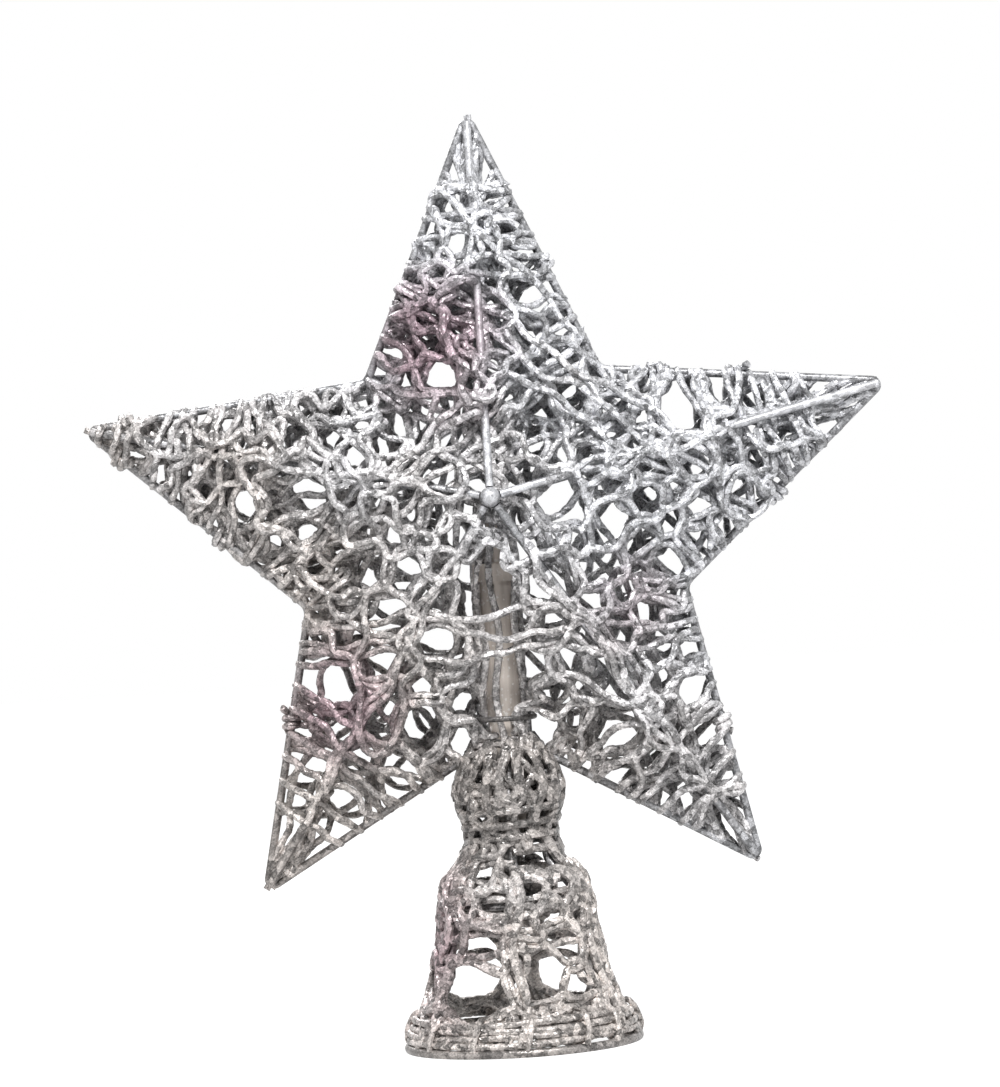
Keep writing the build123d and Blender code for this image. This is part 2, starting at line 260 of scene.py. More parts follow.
# Knots on the star's edges: arm, side, share of the edge from the tip
KNOTS = (
    (4, 0, 0.17), (4, 1, 0.15), (4, 0, 0.62), (0, 1, 0.58),
    (1, 0, 0.52), (1, 1, 0.55), (1, 0, 0.8), (2, 0, 0.5),
    (3, 1, 0.6),
)
KNOT_TURNS = 2.2
KNOT_RADIUS = 2.3
KNOT_RISE = 2.5
KNOT_TAIL = 1.5
KNOT_FLARE = 0.7
KNOT_RIPPLE = 0.35
KNOT_RIPPLES = 2.3
KNOT_STEPS = 14

# Seeds: of the eyes, of the paths, and of the grain of each piece
THROUGH_EYE_SEED = 9
EYE_SEEDS = {FRONT: 5, REAR: 6}
BASE_EYE_SEED = 8
ARM_SEED = 40
BODY_SEED = 70
STEM_SEED = 80
HEM_SEED = 90
LEG_SEED = 34
ARCH_SEED = 61
KNOT_SEED = 100
BODY_GRAIN = 10
HEM_GRAIN = 20
CONE_GRAIN = 21
BULB_GRAIN = 22
KNOT_GRAIN = 23
TIE_GRAIN = 24

# Glitter: colours, and heights in metres over which warm turns to silver
SILVER = (0.785, 0.79, 0.82)
WARM_SILVER = (0.70, 0.645, 0.61)
MAUVE = (0.33, 0.2, 0.245)
VINE_WARM = (0.04, 0.22)
WIRE_WARM = (0.0, 0.15)
BASE_WARM = (0.05, 0.4)

# Glitter: mauve patches as centre in metres, reach, strength; the last one darkens the left of the bell,
# as painted shade
MAUVE_AND_SHADE_PATCHES = (
    ((-0.018, -0.015, 0.228), 0.032, 0.8),
    ((-0.052, -0.01, 0.112), 0.026, 0.75),
    ((0.042, -0.014, 0.142), 0.022, 0.4),
    ((-0.03, -0.012, 0.034), 0.036, 0.65),
)
MAUVE_EDGE = 1.3
MAUVE_DRIFT = 1.5

# Glitter: sizes and weights of its flakes, patches, clouds and slow drift
FLAKE = 0.5
FLAKE_WEIGHT = 0.4
PATCH = 2.2
PATCH_WEIGHT = 0.6
SPARKLE_POWER = 1.5
CLOUD_SCALE = 120.0
CLOUD_LOW = 0.3
CLOUD_GAIN = 1.4
DRIFT_SCALE = 26.0
NOISE_DETAIL = 2.0
WARMTH_DRIFT = 1.4
ROUGHNESS_SPREAD = 0.2

# Stem: satin paint, its grain drawn along the tube
STEM_DARK = (0.40, 0.35, 0.31)
STEM_PALE = (0.74, 0.67, 0.61)
STEM_GLINT = (0.72, 0.69, 0.66)
STEM_GRAIN_SCALE = (900.0, 900.0, 45.0)
STEM_GRAIN_DETAIL = 3.0
STEM_GRAIN_BUMP = 0.25
STEM_GRAIN_DEPTH = 0.0002
STEM_METALLIC = 0.25
STEM_ROUGHNESS = 0.32
STEM_ROUGHNESS_SPREAD = 0.25
SPECK_SCALE = 1500.0
SPECK_LEVEL = 0.86
SPECK_GAIN = 9.0
# Front wires that take a paler copy of the wire finish, a painted highlight where the lamps catch them
HIGHLIGHTED_WIRES = ("front_hub", "front_ridge_top", "front_ridge_right")
PAINTED = ("stem_tube", "stem_cap", "stem_post")

# Stage, in metres and watts: lamps as name, place, size, power
FLOOR_REACH = 4.0
FLOOR_MATT = (0.6, 0.6, 0.6, 1.0)
FLOOR_FAINT = (0.3, 0.3, 0.3, 1.0)
FLOOR_NEAR = (0.88, 0.88, 0.88)
FLOOR_FAR = (1.0, 1.0, 1.0)
SHADOW_REACH = 0.6
AIR_COLOUR = (1.0, 1.0, 1.0, 1.0)
AIR_LEVEL = 0.09
WHITE_RAYS = ("Is Camera Ray", "Is Glossy Ray", "Is Transmission Ray")
LAMP_AIM = (0, 0, 0.16)
LAMPS = (
    ("key", (0.12, -0.85, 1.1), 0.35, 19.5),
    ("fill", (-0.95, -0.75, 0.35), 0.8, 1.8),
    ("rim", (-0.25, 0.8, 0.75), 0.5, 8.0),
)
CAMERA_PLACE = (0.0022, -1.4, 0.1612)
CAMERA_TURN = math.radians(-3.6)
CAMERA_LENS = 144.1
CAMERA_SENSOR = 36.0


# The star's plane: across and up from its centre
def star_place(radius, half_steps):
    """A point of the star's plane, clockwise from the top in half steps."""
    angle = half_steps * math.pi / ARM_COUNT
    return Vector((radius * math.sin(angle), radius * math.cos(angle)))


TIPS = [star_place(CORNER_RADIUS, 2 * k) for k in range(ARM_COUNT)]
VALLEYS = [star_place(VALLEY_RADIUS, 2 * k + 1) for k in range(ARM_COUNT)]
APEX = Vector((0.0, APEX_RISE))
NO_OUTWARD = Vector((0.0, 0.0))
EDGES = [(arm, side) for arm in range(ARM_COUNT) for side in (0, 1)]


def cross(a, b):
    return a.x * b.y - a.y * b.x


def face_depth(place):
    """Depth of the puffed face under a place of the star's plane, or None outside the outline."""
    for k in range(ARM_COUNT):
        for valley in (VALLEYS[k], VALLEYS[k - 1]):
            to_tip = TIPS[k] - APEX
            to_valley = valley - APEX
            off = place - APEX
            turn = cross(to_tip, to_valley)
            tip_share = cross(off, to_valley) / turn
            valley_share = cross(to_tip, off) / turn
            if tip_share >= 0 and valley_share >= 0 and tip_share + valley_share <= 1:
                apex_share = 1 - tip_share - valley_share
                return apex_share * APEX_DEPTH + tip_share * RIDGE_TIP_DEPTH
    return None


def nearest_edge(place):
    """Distance from a place of the star's plane to the outline, and the arm, side and share there."""
    nearest = None
    for arm, side in EDGES:
        edge = VALLEYS[arm - 1 + side] - TIPS[arm]
        share = max(0.0, min(1.0, (place - TIPS[arm]).dot(edge) / edge.length_squared))
        distance = (place - TIPS[arm] - edge * share).length
        if nearest is None or distance < nearest[0]:
            nearest = (distance, arm, side, share)
    return nearest


def arm_of(place):
    """The arm that a place of the star's plane is nearest to, and how far it is along that arm."""
    reaches = [place.dot(tip) / CORNER_RADIUS for tip in TIPS]
    arm = max(range(ARM_COUNT), key=lambda k: reaches[k])
    return arm, reaches[arm]


def edge_place(arm, side, share):
    """A place on an arm's edge, from 0 at the tip to 1 at the valley, and the way out from it."""
    tip = TIPS[arm]
    valley = VALLEYS[arm - 1 + side]
    along = (valley - tip).normalized()
    outward = Vector((-along.y, along.x)) if side else Vector((along.y, -along.x))
    return tip.lerp(valley, share), outward


def edge_hit(start, direction):
    """The nearest place where a line from inside the star meets the outline, and the way out there."""
    best = None
    for arm, side in EDGES:
        tip = TIPS[arm]
        edge = VALLEYS[arm - 1 + side] - tip
        turn = cross(direction, edge)
        along = cross(tip - start, edge) / turn
        share = cross(tip - start, direction) / turn
        if along > 0 and 0 <= share <= 1 and (best is None or along < best[0]):
            best = (along, edge_place(arm, side, share))
    return best[1]


def on_bare_ridge(place):
    """Whether a place of the front lies by a stretch of ridge that shows bare."""
    for start, end, reach in BARE_RIDGES:
        start = Vector(start)
        way = Vector(end) - start
        share = max(0.0, min(1.0, (place - start).dot(way) / way.length_squared))
        if (place - start - way * share).length < reach:
            return True
    return False


def in_stem_window(place):
    half_width, low, high = STEM_WINDOW
    return abs(place.x) < half_width and low < place.y < high


# Open eyes, and paths that keep out of them
def with_eyes(eyes, seed, tries, radii):
    """Open eyes of the weave, with further ones wherever there is room."""
    draw = random.Random(seed)
    eyes = list(eyes)
    for _ in range(tries):
        across = draw.uniform(-CORNER_RADIUS, CORNER_RADIUS)
        up = draw.uniform(-CORNER_RADIUS, CORNER_RADIUS)
        place = Vector((across, up))
        arm, reach = arm_of(place)
        radius = draw.uniform(*radii) * EYE_SCALES[arm]
        if any(math.hypot(across - x, up - y) < radius + r + EYE_GAP for x, y, r in eyes):
            continue
        if reach > CORNER_RADIUS - TIPS_BARE[arm] or face_depth(place) is None:
            continue
        if nearest_edge(place)[0] > radius:
            eyes.append((across, up, radius))
    return eyes


THROUGH_EYES = with_eyes(LARGE_EYES, THROUGH_EYE_SEED, THROUGH_EYE_TRIES, THROUGH_EYE_RADII)
EYES = {face: with_eyes(THROUGH_EYES, seed, EYE_TRIES, EYE_RADII) for face, seed in EYE_SEEDS.items()}


def clear_of(eyes, across, up):
    """Moves a place out of the open eye that it lies in, if any."""
    for x, y, radius in eyes:
        off_x = across - x
        off_y = up - y
        off = math.hypot(off_x, off_y)
        if 0 < off < radius:
            push = EYE_PUSH if radius < LARGE_EYE else LARGE_EYE_PUSH
            stretch = (push * radius + (1 - push) * off) / off
            return x + off_x * stretch, y + off_y * stretch
    return across, up


def eased(places):
    """A path with its kinks taken out, its ends kept."""
    for _ in range(EASING_ROUNDS):
        inner = [(a + b * 2 + c) / 4 for a, b, c in zip(places, places[1:], places[2:])]
        places = [places[0], *inner, places[-1]]
    return places


def taut(depths):
    """Depths of a vine pulled tight over the given ones."""
    hull = []
    for k, depth in enumerate(depths):
        while len(hull) > 1:
            (i, a), (j, b) = hull[-2:]
            if (j - i) * (depth - a) >= (b - a) * (k - i):
                hull.pop()
            else:
                break
        hull.append((k, depth))
    tight = []
    for (i, a), (j, b) in zip(hull, hull[1:]):
        tight += [a + (b - a) * (k - i) / (j - i) for k in range(i, j)]
    return tight + [depths[-1]]


def drawn_wave(draw, sway):
    """The size, pitch and phase of one wave of a sway."""
    full, least, pitches = sway
    return draw.uniform(least, 1.0) * full, draw.uniform(*pitches), draw.uniform(0, math.tau)


def wave(term, place):
    size, pitch, phase = term
    return size * math.sin(math.tau * place / pitch + phase)


def laid_on(draw, places, face, eyes, lifts, inner, span=LOOSE_SPAN):
    """A vine over or under the ridges of one face, through dense places of the star's plane."""
    lift = draw.uniform(*lifts)
    weave = drawn_wave(draw, WEAVE)
    along = [0.0]
    for a, b in zip(places, places[1:]):
        along.append(along[-1] + (b - a).length)
    insets = [min(place, along[-1] - place) for place in along]
    places = [
        Vector(clear_of(eyes, *place)) if inset > EDGE_BEND else place
        for place, inset in zip(places, insets)
    ]
    places = eased(places)
    depths = [face_depth(place) or 0.0 for place in places]
    stretch = REAR_STRETCH if face == REAR else 0.0
    sinks = [float(inner or (face == FRONT and on_bare_ridge(place))) for place in places]
    for _ in range(SINK_EASING):
        sinks = eased(sinks)
    run = []
    for place, inset, depth, tight, far, sink in zip(places, insets, depths, taut(depths), along, sinks):
        bend = math.sqrt(1 - (1 - min(1.0, max(0.0, inset) / EDGE_BEND)) ** 2)
        under = max(0.0, depth - bend * (WIRE_CLEARANCE + lift) + bend * wave(weave, far))
        over = depth + min(tight - depth, span) + bend * (WIRE_CLEARANCE + lift + wave(weave, far))
        height = over + (under - over) * sink
        seen = place * (1 + stretch * depth)
        run.append(Vector((seen.x, face * height, seen.y + STAR_HEIGHT)))
    return run


def straight_places(draw, start, end, reach):
    """Places of a run from edge to edge, with some sway."""
    first = start[0] + start[1] * reach
    last = end[0] + end[1] * reach
    length = (last - first).length
    across = Vector((first.y - last.y, last.x - first.x)).normalized()
    slow = drawn_wave(draw, SLOW_SWAY)
    quick = drawn_wave(draw, QUICK_SWAY)
    count = max(LEAST_STEPS, math.ceil(length / PATH_STEP))
    places = []
    for k in range(count + 1):
        along = length * k / count
        ease = min(1.0, max(0.0, min(along, length - along)) / SWAY_FREE)
        place = first.lerp(last, k / count)
        places.append(place + across * (wave(slow, along) + wave(quick, along)) * ease)
    return places


def curved_places(corners):
    """Dense places on a smooth line through the given ones."""
    points = [corners[0], *corners, corners[-1]]
    places = []
    for before, a, b, after in zip(points, points[1:], points[2:], points[3:]):
        count = max(LEAST_CURVE_STEPS, math.ceil((b - a).length / PATH_STEP))
        for k in range(count):
            t = k / count
            turn = (b - before) * t + (before * 2 - a * 5 + b * 4 - after) * t**2
            turn += (a * 3 - before - b * 3 + after) * t**3
            places.append(a + turn / 2)
    return places + [corners[-1]]


def even_path(draw, stops):
    """One vine through places on the edges, on the front and the rear by turns."""
    path = []
    for k in range(len(stops) - 1):
        face = FRONT if k % 2 == 0 else REAR
        places = straight_places(draw, stops[k], stops[k + 1], EVEN_REACH)
        inner = draw.random() < EVEN_INNER_SHARE
        run = laid_on(draw, places, face, EYES[face], EVEN_LIFT, inner, EVEN_SPAN)
        path += run if k == 0 else run[1:]
    return path


# Nets of the ways between open eyes, and vines woven through them
def weave_net(eyes, outside, wanted):
    """The net of ways between open eyes: its places, what each leads to, those at the rim, and its use."""
    seeds = [Vector((x, y)) for x, y, _ in eyes] + outside
    sizes = [radius for _, _, radius in eyes] + [RIM_SIZE] * len(outside)
    corners, _, triangles, origins, _, _ = delaunay_2d_cdt(seeds, [], [], 0, NET_TOLERANCE)
    places = []
    borders = {}
    for k, triangle in enumerate(triangles):
        weights = [1 / (sizes[origins[c][0]] + EYE_GAP / 2) for c in triangle]
        middle = Vector((0.0, 0.0))
        for corner, weight in zip(triangle, weights):
            middle += corners[corner] * weight
        places.append(middle / sum(weights))
        for a, b in zip(triangle, [*triangle[1:], triangle[0]]):
            borders.setdefault(frozenset((a, b)), []).append(k)
    inside = [wanted(place) for place in places]
    links = [[] for _ in places]
    rim = set()
    for pair in borders.values():
        kept = [k for k in pair if inside[k]]
        if len(kept) == 2:
            links[kept[0]].append(kept[1])
            links[kept[1]].append(kept[0])
        else:
            rim.update(kept)
    return places, links, rim, {}


def face_net(eyes):
    """The net of one face of the star, with seeds outside its outline to end it there."""
    outside = []
    for arm, side in EDGES:
        for k in range(RIM_SEEDS):
            place, outward = edge_place(arm, side, k / RIM_SEEDS)
            outside.append(place + outward * RIM_OFF)
    return weave_net(
        eyes,
        outside,
        lambda place: face_depth(place) is not None and nearest_edge(place)[0] > RIM_CLEAR,
    )


NETS = {face: face_net(eyes) for face, eyes in EYES.items()}


def net_zones(wanted):
    """The nodes of each face's net that a test wants, those on the front clear of the stem."""
    zones = {}
    for face, (places, links, _, _) in NETS.items():
        zones[face] = {
            k
            for k, place in enumerate(places)
            if links[k] and wanted(place) and not (face == FRONT and in_stem_window(place))
        }
    return zones


def net_trail(draw, net, start, zone, steps):
    """A vine's way through a net from one node until it meets the rim, by the least used links."""
    places, links, rim, burdens = net
    least, most = steps
    trail = [start]
    turned = 0
    while len(trail) < most:
        here = trail[-1]
        before = trail[-2] if len(trail) > 1 else None
        ways = []
        for way in links[here]:
            if way == before or way not in zone:
                continue
            turn = 0
            if before is not None:
                heading = places[here] - places[before]
                turn = 1 if cross(heading, places[way] - places[here]) > 0 else -1
            burden = burdens.get(frozenset((here, way)), 0) + draw.uniform(0, CHANCE_BURDEN)
            ways.append((burden + (CURL_BURDEN if turn == turned else 0), way, turn))
        if not ways:
            break
        _, way, turned = min(ways)
        link = frozenset((here, way))
        burdens[link] = burdens.get(link, 0) + 1
        trail.append(way)
        if way in rim and len(trail) >= least:
            break
    return trail


def shaken(draw, place):
    return place + Vector((draw.uniform(-1, 1), draw.uniform(-1, 1))) * NODE_JITTER


def rim_place(place):
    _, arm, side, share = nearest_edge(place)
    edge, outward = edge_place(arm, side, share)
    return edge + outward * WOVEN_REACH


def woven_path(draw, zones, length, inner_share):
    """One vine through the nets, from rim to rim, on the front and the rear by turns."""
    face = FRONT
    places, _, rim, _ = NETS[face]
    start = rim_place(places[draw.choice(sorted(zones[face] & rim))])
    path = []
    while length > 0:
        places, _, rim, _ = NETS[face]
        first = min(sorted(zones[face] & rim), key=lambda node: (places[node] - start).length)
        trail = net_trail(draw, NETS[face], first, zones[face], TRAIL_STEPS)
        corners = [start] + [shaken(draw, places[node]) for node in trail]
        start = rim_place(places[trail[-1]])
        corners.append(start)
        inner = draw.random() < inner_share
        run = laid_on(draw, curved_places(corners), face, EYES[face], WOVEN_LIFT, inner)
        path += run[1:] if path else run
        length -= sum((b - a).length for a, b in zip(run, run[1:])) + PATH_STEP
        face = -face
    return path


# Strands that stray from the weave
def stray_paths(draw, count, distances, half_steps):
    """Vines drawn straight across the weave from edge to edge, past all but its large eyes."""
    paths = []
    for k in range(count):
        place = star_place(draw.uniform(*distances), draw.uniform(*half_steps))
        angle = draw.uniform(0, math.pi)
        direction = Vector((math.cos(angle), math.sin(angle)))
        start = edge_hit(place, -direction)
        end = edge_hit(place, direction)
        places = straight_places(draw, start, end, WOVEN_REACH)
        face = REAR if k % 2 or any(in_stem_window(place) for place in places) else FRONT
        inner = draw.random() < INNER_SHARE
        paths.append(laid_on(draw, places, face, LARGE_EYES, WOVEN_LIFT, inner))
    return paths


def tip_strands(draw, arm):
    """Short vines that run along an arm from the edge near its tip."""
    axis = math.pi / 2 - 2 * arm * math.pi / ARM_COUNT
    paths = []
    for k in range(TIP_STRANDS):
        angle = axis + draw.uniform(-TIP_STRAND_SPREAD, TIP_STRAND_SPREAD)
        length = draw.uniform(*TIP_STRAND_LENGTHS)
        inward = star_place(CORNER_RADIUS - length, 2 * arm)
        start = edge_hit(inward, Vector((math.cos(angle), math.sin(angle))))
        places = straight_places(draw, start, (inward, NO_OUTWARD), WOVEN_REACH)
        face = REAR if k % 2 else FRONT
        paths.append(laid_on(draw, places, face, LARGE_EYES, WOVEN_LIFT, True))
    return paths


def ridge_strands(draw, arm):
    """Vines that run along a front ridge, to and fro across it."""
    paths = []
    for _ in range(RIDGE_STRANDS[arm]):
        start = APEX.lerp(TIPS[arm], draw.uniform(*RIDGE_STRAND_STARTS))
        end = APEX.lerp(TIPS[arm], draw.uniform(*RIDGE_STRAND_ENDS))
        places = straight_places(draw, (start, NO_OUTWARD), (end, NO_OUTWARD), 0)
        paths.append(laid_on(draw, places, FRONT, LARGE_EYES, WOVEN_LIFT, False))
    return paths


# The vines of an arm, of a band of the body, and of the stem
def even_stops(arm, turns, shares):
    """Places on an arm's edges for even turns between two shares."""
    low, high = shares
    stops = []
    for k in range(2 * turns):
        share = low + (high - low) * ((k // 2) / (turns - 1))
        stops.append(edge_place(arm, k % 2, share))
    return stops


def arm_paths(arm, seed):
    """The vines of an arm: even turns, one woven to and fro, and strands that stray."""
    draw = random.Random(seed)
    paths = [even_path(draw, even_stops(arm, EVEN_TURNS, EVEN_SHARES))]
    if ARM_NAMES[arm] == "left":
        paths.append(even_path(draw, even_stops(arm, LEFT_TIP_TURNS, LEFT_TIP_SHARES)))

    def wanted(place):
        near, reach = arm_of(place)
        return near == arm and ARM_INNER_LIMIT < reach < CORNER_RADIUS - TIPS_BARE[arm]

    paths.append(woven_path(draw, net_zones(wanted), ARM_WOVEN_LENGTHS[arm], INNER_SHARE))
    beside = (2 * arm - ARM_STRAY_SPREAD, 2 * arm + ARM_STRAY_SPREAD)
    paths += stray_paths(draw, ARM_STRAYS[arm], ARM_STRAY_REACH, beside)
    return paths + tip_strands(draw, arm) + ridge_strands(draw, arm)


def band_stops(from_valley, to_valley, first_shift):
    """Places on the edges for the even turns of a band across the body."""
    direction = (VALLEYS[to_valley] - VALLEYS[from_valley]).normalized()
    aside = Vector((-direction.y, direction.x))
    middle = (VALLEYS[to_valley] + VALLEYS[from_valley]) / 2
    stops = []
    for turn in range(BAND_TURNS):
        start = middle + aside * (first_shift + BAND_PITCH * turn)
        stops += [edge_hit(start, -direction), edge_hit(start, direction)]
    return stops


def body_paths(seed, from_valley, to_valley, first_shift):
    """The vines of the body: the even turns of a band, one woven all over the middle, and strays."""
    draw = random.Random(seed)
    zones = net_zones(lambda place: place.length < BODY_OUTER_LIMIT)
    paths = [
        even_path(draw, band_stops(from_valley, to_valley, first_shift)),
        woven_path(draw, zones, BODY_WOVEN_LENGTH, BODY_INNER_SHARE),
    ]
    return paths + stray_paths(draw, BODY_STRAYS, BODY_STRAY_REACH, (0, 2 * ARM_COUNT))


def profile_radius(profile, height):
    for (low, low_radius), (high, high_radius) in zip(profile, profile[1:]):
        if height <= high:
            return low_radius + (high_radius - low_radius) * (height - low) / (high - low)
    return profile[-1][1]


def round_place(radius, angle, height):
    """A place round the upright axis, its angle anticlockwise from the front seen from above."""
    return Vector((radius * math.sin(angle), -radius * math.cos(angle), height))


def climb(low, high):
    """Heights of the steps of a path that runs up."""
    count = math.ceil((high - low) / PATH_STEP)
    return [low + (high - low) * k / count for k in range(count + 1)]


def stem_strand(draw, degrees):
    """A vine that runs up along the stem."""
    sway = drawn_wave(draw, STEM_SWAY)
    path = []
    for height in climb(*STEM_SPAN):
        angle = math.radians(degrees) + wave(sway, height) / STEM_STRAND_RADIUS
        path.append(round_place(profile_radius(STEM_PROFILE, height), angle, height))
    return path


# The base: its eyes and net, unrolled, and the vines round it
def base_eyes():
    """Open eyes of the base, unrolled: those of the front, large ones at the rear, then smaller ones."""
    draw = random.Random(BASE_EYE_SEED)
    eyes = list(FRONT_BASE_EYES)
    for leg in BASE_OPEN_AFTER:
        round_to = BASE_PERIOD * (leg + 0.5) / LEG_COUNT
        height = BASE_EYE_HEIGHT + draw.uniform(-BASE_EYE_SHIFT, BASE_EYE_SHIFT)
        eyes.append((math.remainder(round_to, BASE_PERIOD), height, draw.uniform(*BASE_EYE_RADII)))
    for low, high, radii in BASE_EYE_ZONES:
        for _ in range(BASE_EYE_TRIES):
            round_to = draw.uniform(-0.5, 0.5) * BASE_PERIOD
            height = draw.uniform(low, high)
            radius = draw.uniform(*radii)
            apart = [
                math.hypot(math.remainder(round_to - u, BASE_PERIOD), height - v) - radius - r
                for u, v, r in eyes
            ]
            if min(apart) > EYE_GAP:
                eyes.append((round_to, height, radius))
    for u, v, radius in list(eyes):
        if abs(u) > BASE_PERIOD / 2 - BASE_SEAM:
            eyes.append((u - math.copysign(BASE_PERIOD, u), v, radius))
    return eyes


BASE_EYES = base_eyes()


def base_net():
    """The net of the unrolled base, with seeds above and below it to end it there."""
    outside = []
    reach = BASE_PERIOD / 2 + BASE_SEAM
    count = math.ceil(2 * reach / BASE_RIM_STEP)
    for k in range(count + 1):
        for height in (BASE_FOOT - RIM_OFF, BASE_TOP + RIM_OFF):
            outside.append(Vector((reach * (2 * k / count - 1), height)))
    return weave_net(
        BASE_EYES,
        outside,
        lambda place: abs(place.x) < reach - BASE_RIM_STEP and BASE_FOOT < place.y < BASE_TOP,
    )


BASE_NET = base_net()


def between_legs(angle):
    """How far a vine pulled tight over the legs lies inside their circle, as a share."""
    half = math.pi / LEG_COUNT
    off = abs((angle % (2 * half)) - half)
    return math.cos(half) / math.cos(off)


def laid_round(places, profile, proud, pulled):
    """A vine round the base through places of the unrolled base, kept out of the open eyes."""
    moved = []
    for place in places:
        near = math.remainder(place.x, BASE_PERIOD)
        clear = clear_of(BASE_EYES, near, place.y)
        moved.append(Vector((place.x + clear[0] - near, clear[1])))
    path = []
    for place in eased(moved):
        angle = place.x / GIRTH
        radius = profile_radius(profile, place.y) + proud
        radius *= 1 - pulled + pulled * between_legs(angle)
        path.append(round_place(radius, angle, max(BASE_FOOT, place.y)))
    return path


def even_round(low, high, turns):
    """Even turns round the base that climb from one height to another."""
    count = math.ceil(turns * BASE_STEPS)
    places = []
    for k in range(count + 1):
        places.append(Vector((BASE_PERIOD * turns * k / count, low + (high - low) * k / count)))
    return laid_round(places, LEG_PROFILE, WIRE_CLEARANCE, EVEN_PULL)


def woven_round(seed, low, high, length, lift):
    """One vine through the net of the base, between two heights."""
    draw = random.Random(seed)
    places, links, _, _ = BASE_NET
    zone = {k for k, place in enumerate(places) if links[k] and low < place.y < high}
    start = draw.choice(sorted(zone))
    corners = [shaken(draw, places[start])]
    while length > 0:
        trail = net_trail(draw, BASE_NET, start, zone, BASE_TRAIL_STEPS)
        corners += [shaken(draw, places[node]) for node in trail[1:]]
        length -= BASE_NET_STEP * len(trail)
        start = trail[-1]
    return laid_round(curved_places(corners), WOVEN_PROFILE, lift, WOVEN_PULL)


def leg_strand(draw, leg):
    """A vine that runs up along a leg of the base."""
    sway = drawn_wave(draw, LEG_SWAY)
    proud = draw.uniform(*LEG_STRAND_PROUD)
    low = draw.uniform(*LEG_STRAND_FEET)
    high = draw.uniform(*LEG_STRAND_TOPS)
    path = []
    for height in climb(low, high):
        radius = profile_radius(WOVEN_PROFILE, height) + proud
        angle = math.tau * leg / LEG_COUNT + wave(sway, height) / radius
        path.append(round_place(radius, angle, height))
    return path


def dome_arch(draw):
    """A vine arched over the dome at the top of the base."""
    first = draw.uniform(0, math.tau)
    span = draw.uniform(*ARCH_SPANS)
    low = draw.uniform(*ARCH_FEET)
    high = draw.uniform(*ARCH_TOPS)
    proud = draw.uniform(*ARCH_PROUD)
    path = []
    for k in range(ARCH_STEPS + 1):
        height = low + (high - low) * math.sin(math.pi * k / ARCH_STEPS)
        radius = profile_radius(WOVEN_PROFILE, height) + proud
        path.append(round_place(radius, first + span * k / ARCH_STEPS, height))
    return path


def hem_path(seed):
    """Turns of vine that lie on the foot ring, drawn in a little towards their top."""
    draw = random.Random(seed)
    phase = draw.uniform(0, math.tau)
    path = []
    for k in range(math.ceil(HEM_TURNS * HEM_STEPS) + 1):
        angle = math.tau * k / HEM_STEPS + phase
        rise = HEM_PITCH * k / HEM_STEPS
        radius = HEM_RADIUS - HEM_TAPER * rise
        radius += HEM_RIPPLE * math.sin(HEM_RIPPLES_ROUND * angle + phase)
        height = HEM_FOOT + rise + HEM_RIPPLE * math.sin(HEM_RIPPLES_UP * angle + 2 * phase)
        path.append(round_place(radius, angle, height))
    return path


def tie_path(degrees):
    """A tie looped round the turns of the hem."""
    angle = math.radians(degrees)
    path = []
    for step in range(TIE_STEPS + 1):
        turn = math.tau * step / TIE_STEPS
        radius = TIE_RADIUS - TIE_LEAN * math.sin(turn) + TIE_DEPTH * math.cos(turn)
        height = TIE_HEIGHT + TIE_REACH * math.sin(turn)
        path.append(round_place(radius, angle + TIE_TWIST * math.sin(turn), height))
    return path


def knot_path(centre, along, seed):
    """Close turns of vine round a wire, with an end that sticks out."""
    draw = random.Random(seed)
    side = along.orthogonal().normalized()
    other = along.cross(side)
    count = math.ceil(KNOT_TURNS * KNOT_STEPS)
    phase = draw.uniform(0, math.tau)
    path = []
    for k in range(count + 1):
        angle = phase + math.tau * KNOT_TURNS * k / count
        place = centre + along * (KNOT_RISE * KNOT_TURNS * (k / count - 0.5))
        size = KNOT_RADIUS + KNOT_RIPPLE * math.sin(KNOT_RIPPLES * angle)
        path.append(place + (side * math.cos(angle) + other * math.sin(angle)) * size)
    end = path[-1]
    heading = (end - path[-2]).normalized() + (end - centre).normalized() * KNOT_FLARE
    return path + [end + heading * KNOT_TAIL * 0.5, end + heading * KNOT_TAIL]


